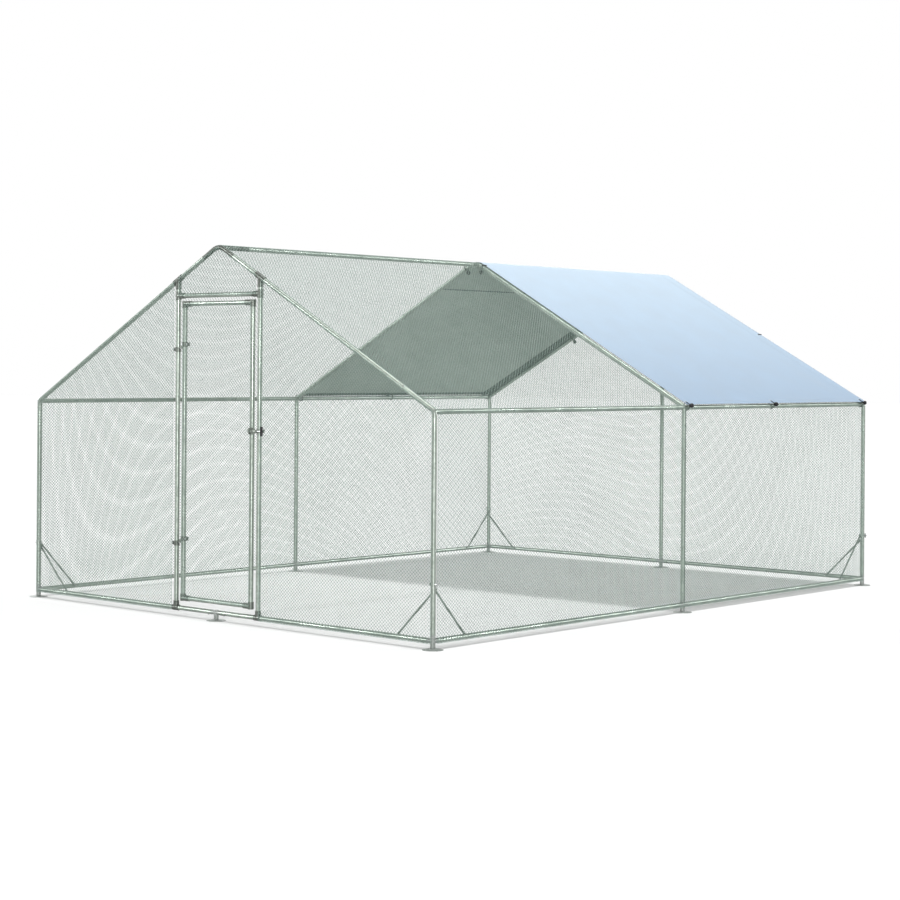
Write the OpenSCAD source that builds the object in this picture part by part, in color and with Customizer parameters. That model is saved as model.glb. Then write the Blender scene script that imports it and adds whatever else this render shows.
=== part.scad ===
// Walk-in poultry run: three gable frames of galvanised tube, wire net on every side,
// a tied cover over the rear bay, and a framed door with clamp hinges and a sliding latch.
// X runs across the run, Y along it with the door at the low end, Z up from the ground.

/* [Run] */
// Width between the corner post axes
run_w = 3000; // [2400:10:3600]
// Length of the front bay between frame axes
front_bay = 2000; // [1600:10:2400]
// Length of the rear bay between frame axes
rear_bay = 1895; // [1600:10:2400]
// Height of the eave, where the post and rafter axes meet
eave_h = 1105; // [1060:5:1200]
// Height at which the two rafter axes would meet
apex_h = 1927; // [1880:5:2100]
// Height of the base rail axis
rail_h = 42; // [40:1:55]

/* [Tube] */
// Outside diameter of the frame tube
tube_d = 25; // [23:0.5:28]
// Wall of the frame tube
tube_wall = 1; // [0.8:0.1:1.4]
// Axis radius of the bend at each eave
eave_bend_r = 30; // [26:1:45]
// Axis radius of the bend at each apex
apex_bend_r = 90; // [60:5:120]

/* [Connectors] */
// Length of a spigot inside its tube
spigot_len = 60; // [45:1:90]
// Gap between a spigot and the bore of its tube
spigot_gap = 0.3; // [0.1:0.05:0.5]
// Wall of a connector spigot
connector_wall = 2.2; // [1.5:0.1:3]
// Reach of an apex connector along each rafter, from where the rafter axes meet
apex_arm = 130; // [100:5:180]
// Reach of the front apex connector along the ridge
front_ridge_arm = 200; // [100:5:260]
// Reach of the other apex connectors along the ridge
ridge_arm = 60; // [40:5:120]
// Straight collar of an eave elbow beyond its bend
eave_collar = 12; // [6:1:30]
// Reach of an eave elbow along the eave rail
eave_arm = 24; // [18:1:40]

/* [Feet] */
// Diameter of a foot plate
foot_d = 100; // [80:1:120]
// Thickness of a foot plate at its rim
foot_rim = 2.5; // [2:0.5:5]
// Height of the raised middle of a foot plate
foot_dome = 7; // [5:0.5:12]
// Reach of a foot along each base rail
foot_arm = 32; // [24:1:50]
// Height of a foot's hub above the base rail axis
hub_rise = 28; // [22:1:50]

/* [Door] */
// Spacing of the two door post axes
door_post_gap = 627; // [600:1:800]
// Spacing of the two door stile axes
door_w = 520; // [480:1:560]
// Height of the door's bottom rail axis
door_bottom_h = 96; // [95:1:150]
// Height of the door's top rail axis
door_top_h = 1629; // [1500:1:1635]
// Height of the header axis over the door
header_h = 1672; // [1665:1:1685]
// Height of the lower hinge
hinge_low_h = 392; // [300:1:600]
// Height of the upper hinge
hinge_high_h = 1405; // [1100:1:1500]
// Height of the latch
latch_h = 980; // [800:1:1050]

/* [Clamps] */
// Wall of a clamp sleeve
clamp_wall = 2.85; // [2:0.05:3.5]
// Gap between a clamp and its tube
clamp_gap = 0.15; // [0.1:0.05:0.3]
// Length of a clamp sleeve on the tube it grips
clamp_len = 44; // [30:1:60]
// Reach of a clamp's branch from the tube it grips
clamp_reach = 50; // [40:1:70]
// Reach of a sill clamp's branch up the door post
sill_reach = 36; // [30:1:37]
// Length of the sleeve that grips a rafter
rafter_clamp_len = 70; // [50:1:90]
// Height of a hinge ring
hinge_ring_h = 26; // [18:1:40]
// Thickness of a hinge tab
hinge_tab_t = 6; // [4:0.5:8]
// Width of a hinge tab
hinge_tab_w = 16; // [13:0.5:18]
// Diameter of a hinge pin
hinge_pin_d = 8; // [6:0.5:9]
// Running gap around a hinge pin
pin_gap = 0.06; // [0.03:0.01:0.1]
// Play between the two tabs of a hinge
hinge_play = 0.3; // [0.2:0.1:1]

/* [Latch] */
// Diameter of the sliding bolt
bolt_d = 8; // [6:0.5:10]
// Distance of the bolt axis in front of the door posts
bolt_front = 26; // [25:0.5:30]
// Travel of the bolt into its keeper
bolt_travel = 28; // [20:1:28]
// Height of the grip
grip_h = 48; // [36:1:60]
// Diameter of the grip
grip_d = 13; // [11:0.5:14]

/* [Braces] */
// Reach of a corner brace along the base rail
brace_reach = 245; // [180:5:320]
// Height of a brace top on the front and rear sides
brace_end_h = 280; // [220:2:282]
// Height of a brace top on the long sides
brace_side_h = 304; // [294:2:340]
// Diameter of a brace rod
brace_d = 9.5; // [7:0.5:11]
// Thickness of a brace's flattened end
brace_t = 4; // [3:0.5:5]
// Width of a brace's flattened end
brace_w = 16; // [14:0.5:18]

/* [Nets] */
// Thickness of a net
net_t = 1.2; // [0.8:0.1:1.8]
// Width of a net's strands
strand_w = 9; // [6:0.5:14]
// Pitch of the gaps in the front and door nets
front_mesh = 330; // [260:10:420]
// Pitch of the gaps in the wall and roof nets
wall_mesh = 460; // [380:10:560]

/* [Cover] */
// Thickness of the cover
cover_t = 1.5; // [1:0.1:2]
// Gap between the middle frame and the cover's front edge
cover_start = 15; // [13:0.5:18]
// Overhang of the cover past the rear frame
cover_tail = 10; // [6:0.5:14]
// Overhang of the cover and roof nets past the eave corner
eave_lap = 6; // [0:0.5:8]

/* [Ties] */
// Diameter of a tie's ball
ball_d = 25; // [20:0.5:26]
// Diameter of a tie's elastic cord
cord_d = 5; // [4:0.5:6]
// Radius of a tie's loop
loop_r = 29; // [28:0.5:32]

/* [Hidden] */
$fn = 48;
overrun = 1;
seat_gap = 0.05;
net_gap = 0.3;
half_seam = 0.15;

// Frame places
sides = [-1, 1];
post_x = run_w / 2;
run_l = front_bay + rear_bay;
front_y = -run_l / 2;
middle_y = front_y + front_bay;
rear_y = run_l / 2;
bays = [[front_y, middle_y], [middle_y, rear_y]];
pitch = atan((apex_h - eave_h) / post_x);
rafter_l = post_x / cos(pitch);
up = [0, 0, 1];
across = [1, 0, 0];
along = [0, 1, 0];

// Tube and connector sizes
tube_r = tube_d / 2;
tube_bore = tube_d - 2 * tube_wall;
spigot_d = tube_bore - 2 * spigot_gap;
spigot_bore = spigot_d - 2 * connector_wall;
arm_step = 1;
arm_d = tube_d - arm_step;
bend_step = 1;
bend_bore = spigot_bore - bend_step;

// Eave and apex bends
eave_turn = 90 - pitch;
eave_leg = eave_bend_r * tan(eave_turn / 2);
eave_rail_x = post_x - eave_bend_r * (1 - cos(eave_turn / 2));
eave_rail_z = eave_h - eave_leg + eave_bend_r * sin(eave_turn / 2);
post_top = eave_h - eave_leg - eave_collar;
rafter_start = eave_leg + eave_collar + seat_gap;
rafter_end = rafter_l - apex_arm - seat_gap;
apex_leg = apex_bend_r * tan(pitch);
apex_bend_z = apex_h - apex_bend_r / cos(pitch);
ridge_z = apex_bend_z + apex_bend_r;
hub_top = rail_h + hub_rise;

// Fixing screws
screw_d = 4;
screw_gap = 0.1;
screw_hole_d = screw_d + 2 * screw_gap;
screw_head_d = 8;
screw_head_h = 2.4;
screw_inset = 28;
screw_tip = 2;

// Clamps
clamp_bore = tube_d + 2 * clamp_gap;
clamp_d = clamp_bore + 2 * clamp_wall;
clamp_r = clamp_d / 2;
branch_step = 0.6;
branch_d = clamp_d - branch_step;
cap_t = 2.5;
ear_l = 16;
ear_t = 4.5;
ear_slit = 3;
ear_h = 18;
ear_bolt_d = 6;
ear_hole_d = ear_bolt_d + 2 * screw_gap;
ear_nut_d = 11;
ear_nut_h = 4;

// Door
door_post_x = door_post_gap / 2;
stile_x = door_w / 2;
hinge_x = -(door_post_x + stile_x) / 2;
hinge_arm = (door_post_x - stile_x) / 2;
hinge_hs = [hinge_low_h, hinge_high_h];
pin_head_d = 13;
pin_head_h = 5;
pin_nut_d = 14;
pin_nut_h = 6;
door_post_foot = rail_h + tube_r + seat_gap;
door_post_s = (post_x - door_post_x) / cos(pitch);
door_post_top = roof_axis_z(door_post_x + tube_r) - tube_r / cos(pitch) - seat_gap;

// Latch
bolt_y = front_y - bolt_front;
barrel_wall = 3.5;
barrel_l = 20;
barrel_shift = 3.5;
barrel_x = door_post_x - barrel_shift - barrel_l / 2;
bolt_lead = 4;
bolt_tip_x = barrel_x - bolt_lead;
grip_room = 2;
grip_x = barrel_x + barrel_l + bolt_travel + grip_room + grip_d / 2;
stem_x = grip_x - grip_d / 2;
grip_stem_d = 6;
grip_stem_l = 8;
web_h = 12;
keeper_t = 4;
keeper_x = stile_x + clamp_r - keeper_t;
keeper_h = 32;
keeper_room = 2.5;
keeper_window = bolt_d + 2 * keeper_room;
keeper_lip = 6;

// Braces
brace_neck_l = 24;
brace_neck_w = 11;
brace_screw_d = 6;
brace_hole_d = brace_screw_d + 2 * screw_gap;
brace_head_d = 11;
brace_head_h = 4;
wing_boss_d = 11;
wing_boss_l = 9;
wing_reach = 13;
wing_t = 3;
wing_tail = 6;

// Nets and cover
front_stand = clamp_r + net_gap;
wall_stand = tube_r + net_gap;
cover_stand = wall_stand + net_t + net_gap;
net_foot = rail_h - tube_r;
corner_room = 14;
post_room = 20;
net_border = 10;
least_gap_share = 0.06;
crest_steps = 6;
crest_skin = net_t / 4;

// Ties
cord_gap = 0.4;
eave_loop_rise = 6.5;
eave_ball_turn = 10;
middle_tie_off = 23;
middle_tie_s = rafter_l - apex_leg - middle_tie_off;
rear_tie_s = rafter_l / 2;
tie_inset = 32;
bay_tie_share = 0.46;
eave_tie_ys = [middle_y + tie_inset, middle_y + bay_tie_share * rear_bay, rear_y - tie_inset];

// Places on the roof
function roof_axis_z(x) = apex_h - abs(x) * tan(pitch);
function on_rafter(side, y, s) = [side * (post_x - s * cos(pitch)), y, eave_h + s * sin(pitch)];
function roof_normal(side) = [side * sin(pitch), 0, cos(pitch)];
function up_slope(side) = [-side * cos(pitch), 0, sin(pitch)];

// Screws as pairs of a point on the tube axis and the direction the head faces
function post_screws(y) = [
    for (side = sides, z = [hub_top + screw_inset, post_top - screw_inset])
        [[side * post_x, y, z], -side * across]
];
function rafter_screws(y) = [
    for (side = sides, s = [rafter_start + screw_inset, rafter_end - screw_inset])
        [on_rafter(side, y, s), -roof_normal(side)]
];
function eave_screws(side) = [
    for (bay = bays, y = [bay[0] + eave_arm + screw_inset, bay[1] - eave_arm - screw_inset])
        [[side * eave_rail_x, y, eave_rail_z], -up]
];
function ridge_screws() = [
    for (y = [front_y + front_ridge_arm + screw_inset, middle_y - ridge_arm - screw_inset,
              middle_y + ridge_arm + screw_inset, rear_y - ridge_arm - screw_inset])
        [[0, y, ridge_z], -up]
];
function end_rail_screws(y) = [
    for (side = sides, x = [post_x - foot_arm - screw_inset, foot_arm + screw_inset])
        [[side * x, y, rail_h], -up]
];
function side_rail_screws(side) = [
    for (bay = bays, y = [bay[0] + foot_arm + screw_inset, bay[1] - foot_arm - screw_inset])
        [[side * post_x, y, rail_h], -up]
];
function centre_screws() = [
    for (z = [hub_top + screw_inset, ridge_z - ridge_arm - screw_inset]) [[0, rear_y, z], -along]
];

// Corner braces as [top, foot, direction from the tube axis to the brace]
function end_braces() = [
    for (side = sides, end = sides)
        let (y = end * rear_y)
        [[side * post_x, y, brace_end_h], [side * (post_x - brace_reach), y, rail_h], -end * along]
];
function side_braces() = [
    for (side = sides, end = sides)
        let (y = end * rear_y, x = side * post_x)
        [[x, y, brace_side_h], [x, y - end * brace_reach, rail_h], -side * across]
];

// Ties as [centre, tube direction, roof normal, turn of the ball, rise of the loop]
function eave_ties(side) = [
    for (y = eave_tie_ys)
        [[side * eave_rail_x, y, eave_rail_z], side * along, roof_normal(side),
         -pitch - eave_ball_turn, eave_loop_rise]
];
function rafter_ties(y, s) = [
    for (side = sides) [on_rafter(side, y, s), up_slope(side), roof_normal(side), 90, 0]
];

// Flat outlines: inward offset, and clipping of one outline by another
function unit(v) = v / norm(v);
function inset(pts, w) = [
    for (i = [0 : len(pts) - 1])
        let (
            a = unit(pts[i] - pts[(i + len(pts) - 1) % len(pts)]),
            b = unit(pts[(i + 1) % len(pts)] - pts[i]),
            na = [-a[1], a[0]],
            nb = [-b[1], b[0]]
        )
        pts[i] + w * (na + nb) / (1 + na * nb)
];
function side_of(a, b, p) = (b[0] - a[0]) * (p[1] - a[1]) - (b[1] - a[1]) * (p[0] - a[0]);
function clip_edge(pts, a, b) = [
    for (i = [0 : 1 : len(pts) - 1])
        let (
            p = pts[i],
            q = pts[(i + 1) % len(pts)],
            sp = side_of(a, b, p),
            sq = side_of(a, b, q)
        )
        each concat(sp >= 0 ? [p] : [], sp * sq < 0 ? [p + (q - p) * sp / (sp - sq)] : [])
];
function clip(pts, edge, k = 0) =
    k == len(edge) || len(pts) < 3 ? pts
    : clip(clip_edge(pts, edge[k], edge[(k + 1) % len(edge)]), edge, k + 1);
function sum(v, i = 0) = i < len(v) ? v[i] + sum(v, i + 1) : 0;
function flat_area(pts) = sum([
    for (i = [0 : 1 : len(pts) - 1])
        let (p = pts[i], q = pts[(i + 1) % len(pts)]) (p[0] * q[1] - p[1] * q[0]) / 2
]);

// A round bar between two points
module bar(a, b, d) {
    v = b - a;
    translate(a)
        rotate([0, acos(v[2] / norm(v)), atan2(v[1], v[0])])
            cylinder(d = d, h = norm(v));
}

// Children moved to an origin, with their x and z turned to two given directions
module place(origin, x, z) {
    y = cross(z, x);
    multmatrix([
        [x[0], y[0], z[0], origin[0]],
        [x[1], y[1], z[1], origin[1]],
        [x[2], y[2], z[2], origin[2]],
        [0, 0, 0, 1]
    ])
        children();
}

module screw_holes(screws, d = screw_hole_d)
    for (s = screws) bar(s[0], s[0] + s[1] * tube_d, d);

// A length of frame tube
module tube(a, b) {
    lead = unit(b - a) * overrun;
    difference() {
        bar(a, b, tube_d);
        bar(a - lead, b + lead, tube_bore);
    }
}

// A clamp of two sleeves, one round a tube and one round the end of a branch tube
module tee_clamp(a, b, root, tip, cap = 0) {
    lead = unit(b - a);
    reach = unit(tip - root);
    difference() {
        union() {
            bar(a, b + lead * cap, clamp_d);
            bar(root, tip, branch_d);
        }
        bar(a - lead * overrun, b + lead * (cap > 0 ? 0 : overrun), clamp_bore);
        bar(root, tip + reach * overrun, clamp_bore);
    }
}

// Arm of a connector: a collar a little under the tube's size, then a spigot that enters the tube
module arm(from, dir, collar) {
    bar(from - dir * overrun, from + dir * collar, arm_d);
    bar(from, from + dir * (collar + spigot_len), spigot_d);
}
module arm_bore(from, dir, collar, start = -overrun)
    bar(from + dir * start, from + dir * (collar + spigot_len + overrun), spigot_bore);

// Posts
module frame_post(side, y) tube([side * post_x, y, hub_top], [side * post_x, y, post_top]);

module corner_posts(y, end)
    difference() {
        for (side = sides) frame_post(side, y);
        screw_holes(post_screws(y));
        for (side = sides) {
            end_hole = [side * post_x, y, brace_end_h];
            side_hole = [side * post_x, y, brace_side_h];
            bar(end_hole, end_hole - end * along * tube_d, brace_hole_d);
            bar(side_hole - across * tube_d, side_hole + across * tube_d, brace_hole_d);
        }
    }
module front_posts() color("lightslategray") corner_posts(front_y, -1);
module rear_posts() color("lightslategray") corner_posts(rear_y, 1);

module middle_posts()
    color("lightslategray")
        difference() {
            for (side = sides) frame_post(side, middle_y);
            screw_holes(post_screws(middle_y));
        }

module rear_centre_post()
    color("lightslategray")
        difference() {
            tube([0, rear_y, hub_top], [0, rear_y, ridge_z - ridge_arm]);
            screw_holes(centre_screws());
        }

// Rafters and the ridge
module rafters(y)
    color("lightslategray")
        difference() {
            for (side = sides) tube(on_rafter(side, y, rafter_start), on_rafter(side, y, rafter_end));
            screw_holes(rafter_screws(y));
        }
module front_rafters() rafters(front_y);
module middle_rafters() rafters(middle_y);
module rear_rafters() rafters(rear_y);

module ridge_tube(from, to)
    color("lightslategray")
        difference() {
            tube([0, from, ridge_z], [0, to, ridge_z]);
            screw_holes(ridge_screws());
        }
module front_ridge_tube() ridge_tube(front_y + front_ridge_arm, middle_y - ridge_arm);
module rear_ridge_tube() ridge_tube(middle_y + ridge_arm, rear_y - ridge_arm);

// Eave rails, one length to each bay
module eave_rails(side)
    color("lightslategray")
        difference() {
            for (bay = bays)
                tube([side * eave_rail_x, bay[0] + eave_arm, eave_rail_z],
                     [side * eave_rail_x, bay[1] - eave_arm, eave_rail_z]);
            screw_holes(eave_screws(side));
        }
module left_eave_rails() eave_rails(-1);
module right_eave_rails() eave_rails(1);

// Base rails, drilled for the connector screws and for the foot of each brace
module end_base_rails(y)
    color("lightslategray")
        difference() {
            for (side = sides) tube([side * foot_arm, y, rail_h], [side * (post_x - foot_arm), y, rail_h]);
            screw_holes(end_rail_screws(y));
            for (b = end_braces())
                if (b[1][1] == y) bar(b[1], b[1] + b[2] * tube_d, brace_hole_d);
        }
module front_base_rails() end_base_rails(front_y);
module rear_base_rails() end_base_rails(rear_y);

module side_base_rails(side)
    color("lightslategray")
        difference() {
            for (bay = bays)
                tube([side * post_x, bay[0] + foot_arm, rail_h], [side * post_x, bay[1] - foot_arm, rail_h]);
            screw_holes(side_rail_screws(side));
            for (b = side_braces())
                if (b[1][0] == side * post_x) bar(b[1], b[1] + b[2] * tube_d, brace_hole_d);
        }
module left_base_rails() side_base_rails(-1);
module right_base_rails() side_base_rails(1);

// Door surround
module door_posts()
    color("lightslategray")
        for (side = sides)
            tube([side * door_post_x, front_y, door_post_foot], [side * door_post_x, front_y, door_post_top]);

module door_header() {
    reach = door_post_x - tube_r - seat_gap;
    color("lightslategray") tube([-reach, front_y, header_h], [reach, front_y, header_h]);
}

// Apex connectors: a bend between the rafters, with arms for the ridge
module apex_bend(d)
    translate([0, 0, apex_bend_z])
        rotate([90, 0, 0])
            rotate([0, 0, 90 - pitch])
                rotate_extrude(angle = 2 * pitch)
                    translate([apex_bend_r, 0]) circle(d = d);

module apex_connector(y, ridge_arms, post = false)
    difference() {
        union() {
            translate([0, y, 0]) apex_bend(tube_d);
            for (side = sides)
                arm(on_rafter(side, y, rafter_l - apex_leg), -up_slope(side), apex_arm - apex_leg);
            for (a = ridge_arms) arm([0, y, ridge_z], a[0] * along, a[1]);
            if (post) arm([0, y, ridge_z], -up, ridge_arm);
        }
        translate([0, y, 0]) apex_bend(bend_bore);
        for (side = sides)
            arm_bore(on_rafter(side, y, rafter_l - apex_leg), -up_slope(side), apex_arm - apex_leg);
        for (a = ridge_arms) arm_bore([0, y, ridge_z], a[0] * along, a[1], tube_d);
        if (post) arm_bore([0, y, ridge_z], -up, ridge_arm, tube_d);
        screw_holes(concat(rafter_screws(y), ridge_screws(), post ? centre_screws() : []));
    }
module front_apex_connector() color("dimgray") apex_connector(front_y, [[1, front_ridge_arm]]);
module middle_apex_connector() color("dimgray") apex_connector(middle_y, [[1, ridge_arm], [-1, ridge_arm]]);
module rear_apex_connector() color("dimgray") apex_connector(rear_y, [[-1, ridge_arm]], true);

// Eave elbows: a bend from post to rafter, with arms for the eave rails
module eave_bend(side, y, d)
    mirror([side < 0 ? 1 : 0, 0, 0])
        translate([post_x - eave_bend_r, y, eave_h - eave_leg])
            rotate([90, 0, 0])
                rotate_extrude(angle = eave_turn)
                    translate([eave_bend_r, 0]) circle(d = d);

module eave_elbow(side, y, ends) {
    post_end = [side * post_x, y, eave_h - eave_leg];
    rafter_root = on_rafter(side, y, eave_leg);
    rail_root = [side * eave_rail_x, y, eave_rail_z];
    difference() {
        union() {
            eave_bend(side, y, tube_d);
            arm(post_end, -up, eave_collar);
            arm(rafter_root, up_slope(side), eave_collar);
            for (e = ends) arm(rail_root, e * along, eave_arm);
        }
        eave_bend(side, y, bend_bore);
        arm_bore(post_end, -up, eave_collar);
        arm_bore(rafter_root, up_slope(side), eave_collar);
        for (e = ends) arm_bore(rail_root, e * along, eave_arm, tube_r);
        screw_holes(concat(post_screws(y), rafter_screws(y), eave_screws(side)));
    }
}
module eave_elbows(y, ends) color("gray") for (side = sides) eave_elbow(side, y, ends);
module front_eave_elbows() eave_elbows(front_y, [1]);
module middle_eave_elbows() eave_elbows(middle_y, [-1, 1]);
module rear_eave_elbows() eave_elbows(rear_y, [-1]);

// Feet: a round plate, a hub, arms for the base rails and a spigot for the post
module foot(x, y, arms, post, screws) {
    root = [x, y, rail_h];
    difference() {
        union() {
            translate([x, y, 0])
                rotate_extrude()
                    polygon([
                        [0, 0], [foot_d / 2, 0], [foot_d / 2, foot_rim],
                        [tube_d, foot_dome], [0, foot_dome]
                    ]);
            bar([x, y, foot_rim], [x, y, post ? hub_top : rail_h + tube_r], tube_d);
            if (post) bar(root, [x, y, hub_top + spigot_len], spigot_d);
            for (a = arms) arm(root, a, foot_arm);
        }
        if (post) arm_bore(root, up, hub_rise, tube_d);
        for (a = arms) arm_bore(root, a, foot_arm, tube_r);
        screw_holes(screws);
    }
}
module corner_feet()
    color("silver")
        for (side = sides, end = sides)
            foot(side * post_x, end * rear_y, [-side * across, -end * along], true,
                 concat(post_screws(end * rear_y), end_rail_screws(end * rear_y), side_rail_screws(side)));

module middle_feet()
    color("silver")
        for (side = sides)
            foot(side * post_x, middle_y, [-along, along], true,
                 concat(post_screws(middle_y), side_rail_screws(side)));

module centre_feet()
    color("silver") {
        foot(0, front_y, [-across, across], false, end_rail_screws(front_y));
        foot(0, rear_y, [-across, across], true, concat(end_rail_screws(rear_y), centre_screws()));
    }

// Screws that hold the tubes on their connectors
module frame_screw(at, dir) {
    head = at + dir * (tube_r + seat_gap);
    top = head + dir * screw_head_h;
    bar(at + dir * (spigot_bore / 2 - screw_tip), top, screw_d);
    bar(head, top, screw_head_d);
}
module frame_screws() {
    frames = [for (y = [front_y, middle_y, rear_y]) each concat(post_screws(y), rafter_screws(y))];
    lengthwise = [for (side = sides) each concat(eave_screws(side), side_rail_screws(side))];
    crosswise = concat(end_rail_screws(front_y), end_rail_screws(rear_y));
    color("darkgray")
        for (s = concat(frames, lengthwise, crosswise, ridge_screws(), centre_screws()))
            frame_screw(s[0], s[1]);
}

// Clamps that join the door surround to the frame
module sill_brackets()
    color("gray")
        for (side = sides) {
            root = [side * door_post_x, front_y, rail_h];
            half = across * clamp_len / 2;
            tee_clamp(root - half, root + half, root, root + up * sill_reach);
        }

module header_brackets()
    color("gray")
        for (side = sides) {
            root = [side * door_post_x, front_y, header_h];
            half = up * clamp_len / 2;
            tee_clamp(root - half, root + half, root, root - side * across * clamp_reach);
        }

function rafter_clamp_end(side, end, gap = 0) =
    on_rafter(side, front_y, door_post_s) + up_slope(side) * end * (rafter_clamp_len / 2 + gap);

module door_rafter_clamps()
    color("dimgray")
        for (side = sides) {
            root = on_rafter(side, front_y, door_post_s);
            tee_clamp(rafter_clamp_end(side, -1), rafter_clamp_end(side, 1), root, root - up * clamp_reach);
        }

// Split ring with two ears, drilled across the ears for its bolt
module split_ring(at, ear_dir, h) {
    ear_x = clamp_r + ear_l / 2;
    place(at, ear_dir * across, up) {
        difference() {
            union() {
                cylinder(d = clamp_d, h = h);
                translate([clamp_r - clamp_wall, -ear_slit / 2 - ear_t, (h - ear_h) / 2])
                    cube([ear_l + clamp_wall, ear_slit + 2 * ear_t, ear_h]);
                children();
            }
            translate([0, 0, -overrun]) cylinder(d = clamp_bore, h = h + 2 * overrun);
            translate([0, -ear_slit / 2, -overrun])
                cube([ear_x + ear_l, ear_slit, h + 2 * overrun]);
            translate([ear_x, 0, h / 2])
                rotate([90, 0, 0])
                    cylinder(d = ear_hole_d, h = 2 * clamp_d, center = true);
        }
    }
}

// Bolt through the ears of a split ring, with its head at the front and its nut behind
module ring_bolt(at, ear_dir, h) {
    ear_y = ear_slit / 2 + ear_t;
    translate(at + [ear_dir * (clamp_r + ear_l / 2), 0, h / 2])
        rotate([90, 0, 0]) {
            translate([0, 0, -ear_y - ear_nut_h]) cylinder(d = ear_bolt_d, h = 2 * ear_y + ear_nut_h);
            translate([0, 0, ear_y]) cylinder(d = ear_nut_d, h = ear_nut_h);
            translate([0, 0, -ear_y - ear_nut_h]) cylinder(d = ear_nut_d, h = ear_nut_h, $fn = 6);
        }
}

// Hinges: a ring on the post below, a ring on the stile above, and a pin through both tabs
function post_ring(h) = [-door_post_x, front_y, h - hinge_play / 2 - hinge_ring_h];
function stile_ring(h) = [-stile_x, front_y, h + hinge_play / 2];

module hinge_half(at, ear_dir, tab_z)
    difference() {
        split_ring(at, ear_dir, hinge_ring_h)
            translate([0, 0, tab_z]) {
                translate([-hinge_arm, -hinge_tab_w / 2, 0]) cube([hinge_arm, hinge_tab_w, hinge_tab_t]);
                translate([-hinge_arm, 0, 0]) cylinder(d = hinge_tab_w, h = hinge_tab_t);
            }
        translate([hinge_x, front_y, at[2] - overrun])
            cylinder(d = hinge_pin_d + 2 * pin_gap, h = hinge_ring_h + 2 * overrun);
    }
module hinge_post_clamps()
    color("gray") for (h = hinge_hs) hinge_half(post_ring(h), -1, hinge_ring_h - hinge_tab_t);
module hinge_door_clamps()
    color("gray") for (h = hinge_hs) hinge_half(stile_ring(h), 1, 0);

module hinge_pins()
    color("darkgray")
        for (h = hinge_hs)
            translate([hinge_x, front_y, h]) {
                tab = hinge_play / 2 + hinge_tab_t;
                translate([0, 0, -tab - pin_nut_h])
                    cylinder(d = hinge_pin_d, h = 2 * tab + hinge_play + pin_nut_h);
                translate([0, 0, tab + hinge_play]) cylinder(d = pin_head_d, h = pin_head_h);
                translate([0, 0, -tab - pin_nut_h])
                    difference() {
                        cylinder(d = pin_nut_d, h = pin_nut_h, $fn = 6);
                        translate([0, 0, -overrun])
                            cylinder(d = hinge_pin_d + 2 * pin_gap, h = pin_nut_h + 2 * overrun);
                    }
            }

// Latch: a guide barrel on the post's ring, the sliding bolt, and a keeper on the stile
latch_ring = [door_post_x, front_y, latch_h - hinge_ring_h / 2];
keeper_ring = [stile_x, front_y, latch_h - hinge_ring_h / 2];

module latch_carrier() {
    barrel_d = bolt_d + 2 * barrel_wall;
    color("gray")
        difference() {
            split_ring(latch_ring, 1, hinge_ring_h) {
                translate([barrel_x - door_post_x, -bolt_front, (hinge_ring_h - web_h) / 2])
                    cube([barrel_l, bolt_front, web_h]);
                translate([barrel_x - door_post_x, -bolt_front, hinge_ring_h / 2])
                    rotate([0, 90, 0]) cylinder(d = barrel_d, h = barrel_l);
            }
            bar([barrel_x - overrun, bolt_y, latch_h], [barrel_x + barrel_l + overrun, bolt_y, latch_h],
                bolt_d + 2 * pin_gap);
        }
}

module latch_keeper() {
    depth = bolt_front + keeper_window / 2 + keeper_lip;
    color("gray")
        difference() {
            split_ring(keeper_ring, -1, hinge_ring_h)
                translate([stile_x - keeper_x - keeper_t, 0, (hinge_ring_h - keeper_h) / 2])
                    cube([keeper_t, depth, keeper_h]);
            bar([stile_x, front_y, latch_h - keeper_h], [stile_x, front_y, latch_h + keeper_h], clamp_bore);
            translate([keeper_x - overrun, bolt_y - keeper_window / 2, latch_h - keeper_window / 2])
                cube([keeper_t + 2 * overrun, keeper_window, keeper_window]);
        }
}

module latch_bolt()
    color("darkgray") {
        bar([bolt_tip_x, bolt_y, latch_h], [stem_x - seat_gap, bolt_y, latch_h], bolt_d);
        bar([stem_x - seat_gap, bolt_y, latch_h], [stem_x + grip_stem_l, bolt_y, latch_h], grip_stem_d);
    }

module latch_grip()
    color("black")
        difference() {
            translate([grip_x, bolt_y, latch_h - grip_h / 2]) cylinder(d = grip_d, h = grip_h);
            bar([stem_x - overrun, bolt_y, latch_h], [stem_x + grip_stem_l + seat_gap, bolt_y, latch_h],
                grip_stem_d + 2 * pin_gap);
        }

module post_clamp_bolts()
    color("darkgray") {
        for (h = hinge_hs) ring_bolt(post_ring(h), -1, hinge_ring_h);
        ring_bolt(latch_ring, 1, hinge_ring_h);
    }
module door_clamp_bolts()
    color("darkgray") {
        for (h = hinge_hs) ring_bolt(stile_ring(h), 1, hinge_ring_h);
        ring_bolt(keeper_ring, -1, hinge_ring_h);
    }

// Door frame
module door_stile(side)
    color("lightslategray")
        tube([side * stile_x, front_y, door_bottom_h - tube_r],
             [side * stile_x, front_y, door_top_h + tube_r]);
module door_hinge_stile() door_stile(-1);
module door_latch_stile() door_stile(1);

module door_rail(h) {
    reach = stile_x - tube_r - seat_gap;
    color("lightslategray") tube([-reach, front_y, h], [reach, front_y, h]);
}
module door_top_rail() door_rail(door_top_h);
module door_bottom_rail() door_rail(door_bottom_h);

module door_corner_brackets()
    color("gray")
        for (side = sides, end = sides) {
            root = [side * stile_x, front_y, end > 0 ? door_top_h : door_bottom_h];
            tee_clamp(root - end * up * clamp_len / 2, root + end * up * tube_r, root,
                      root - side * across * clamp_reach, cap_t);
        }

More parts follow.
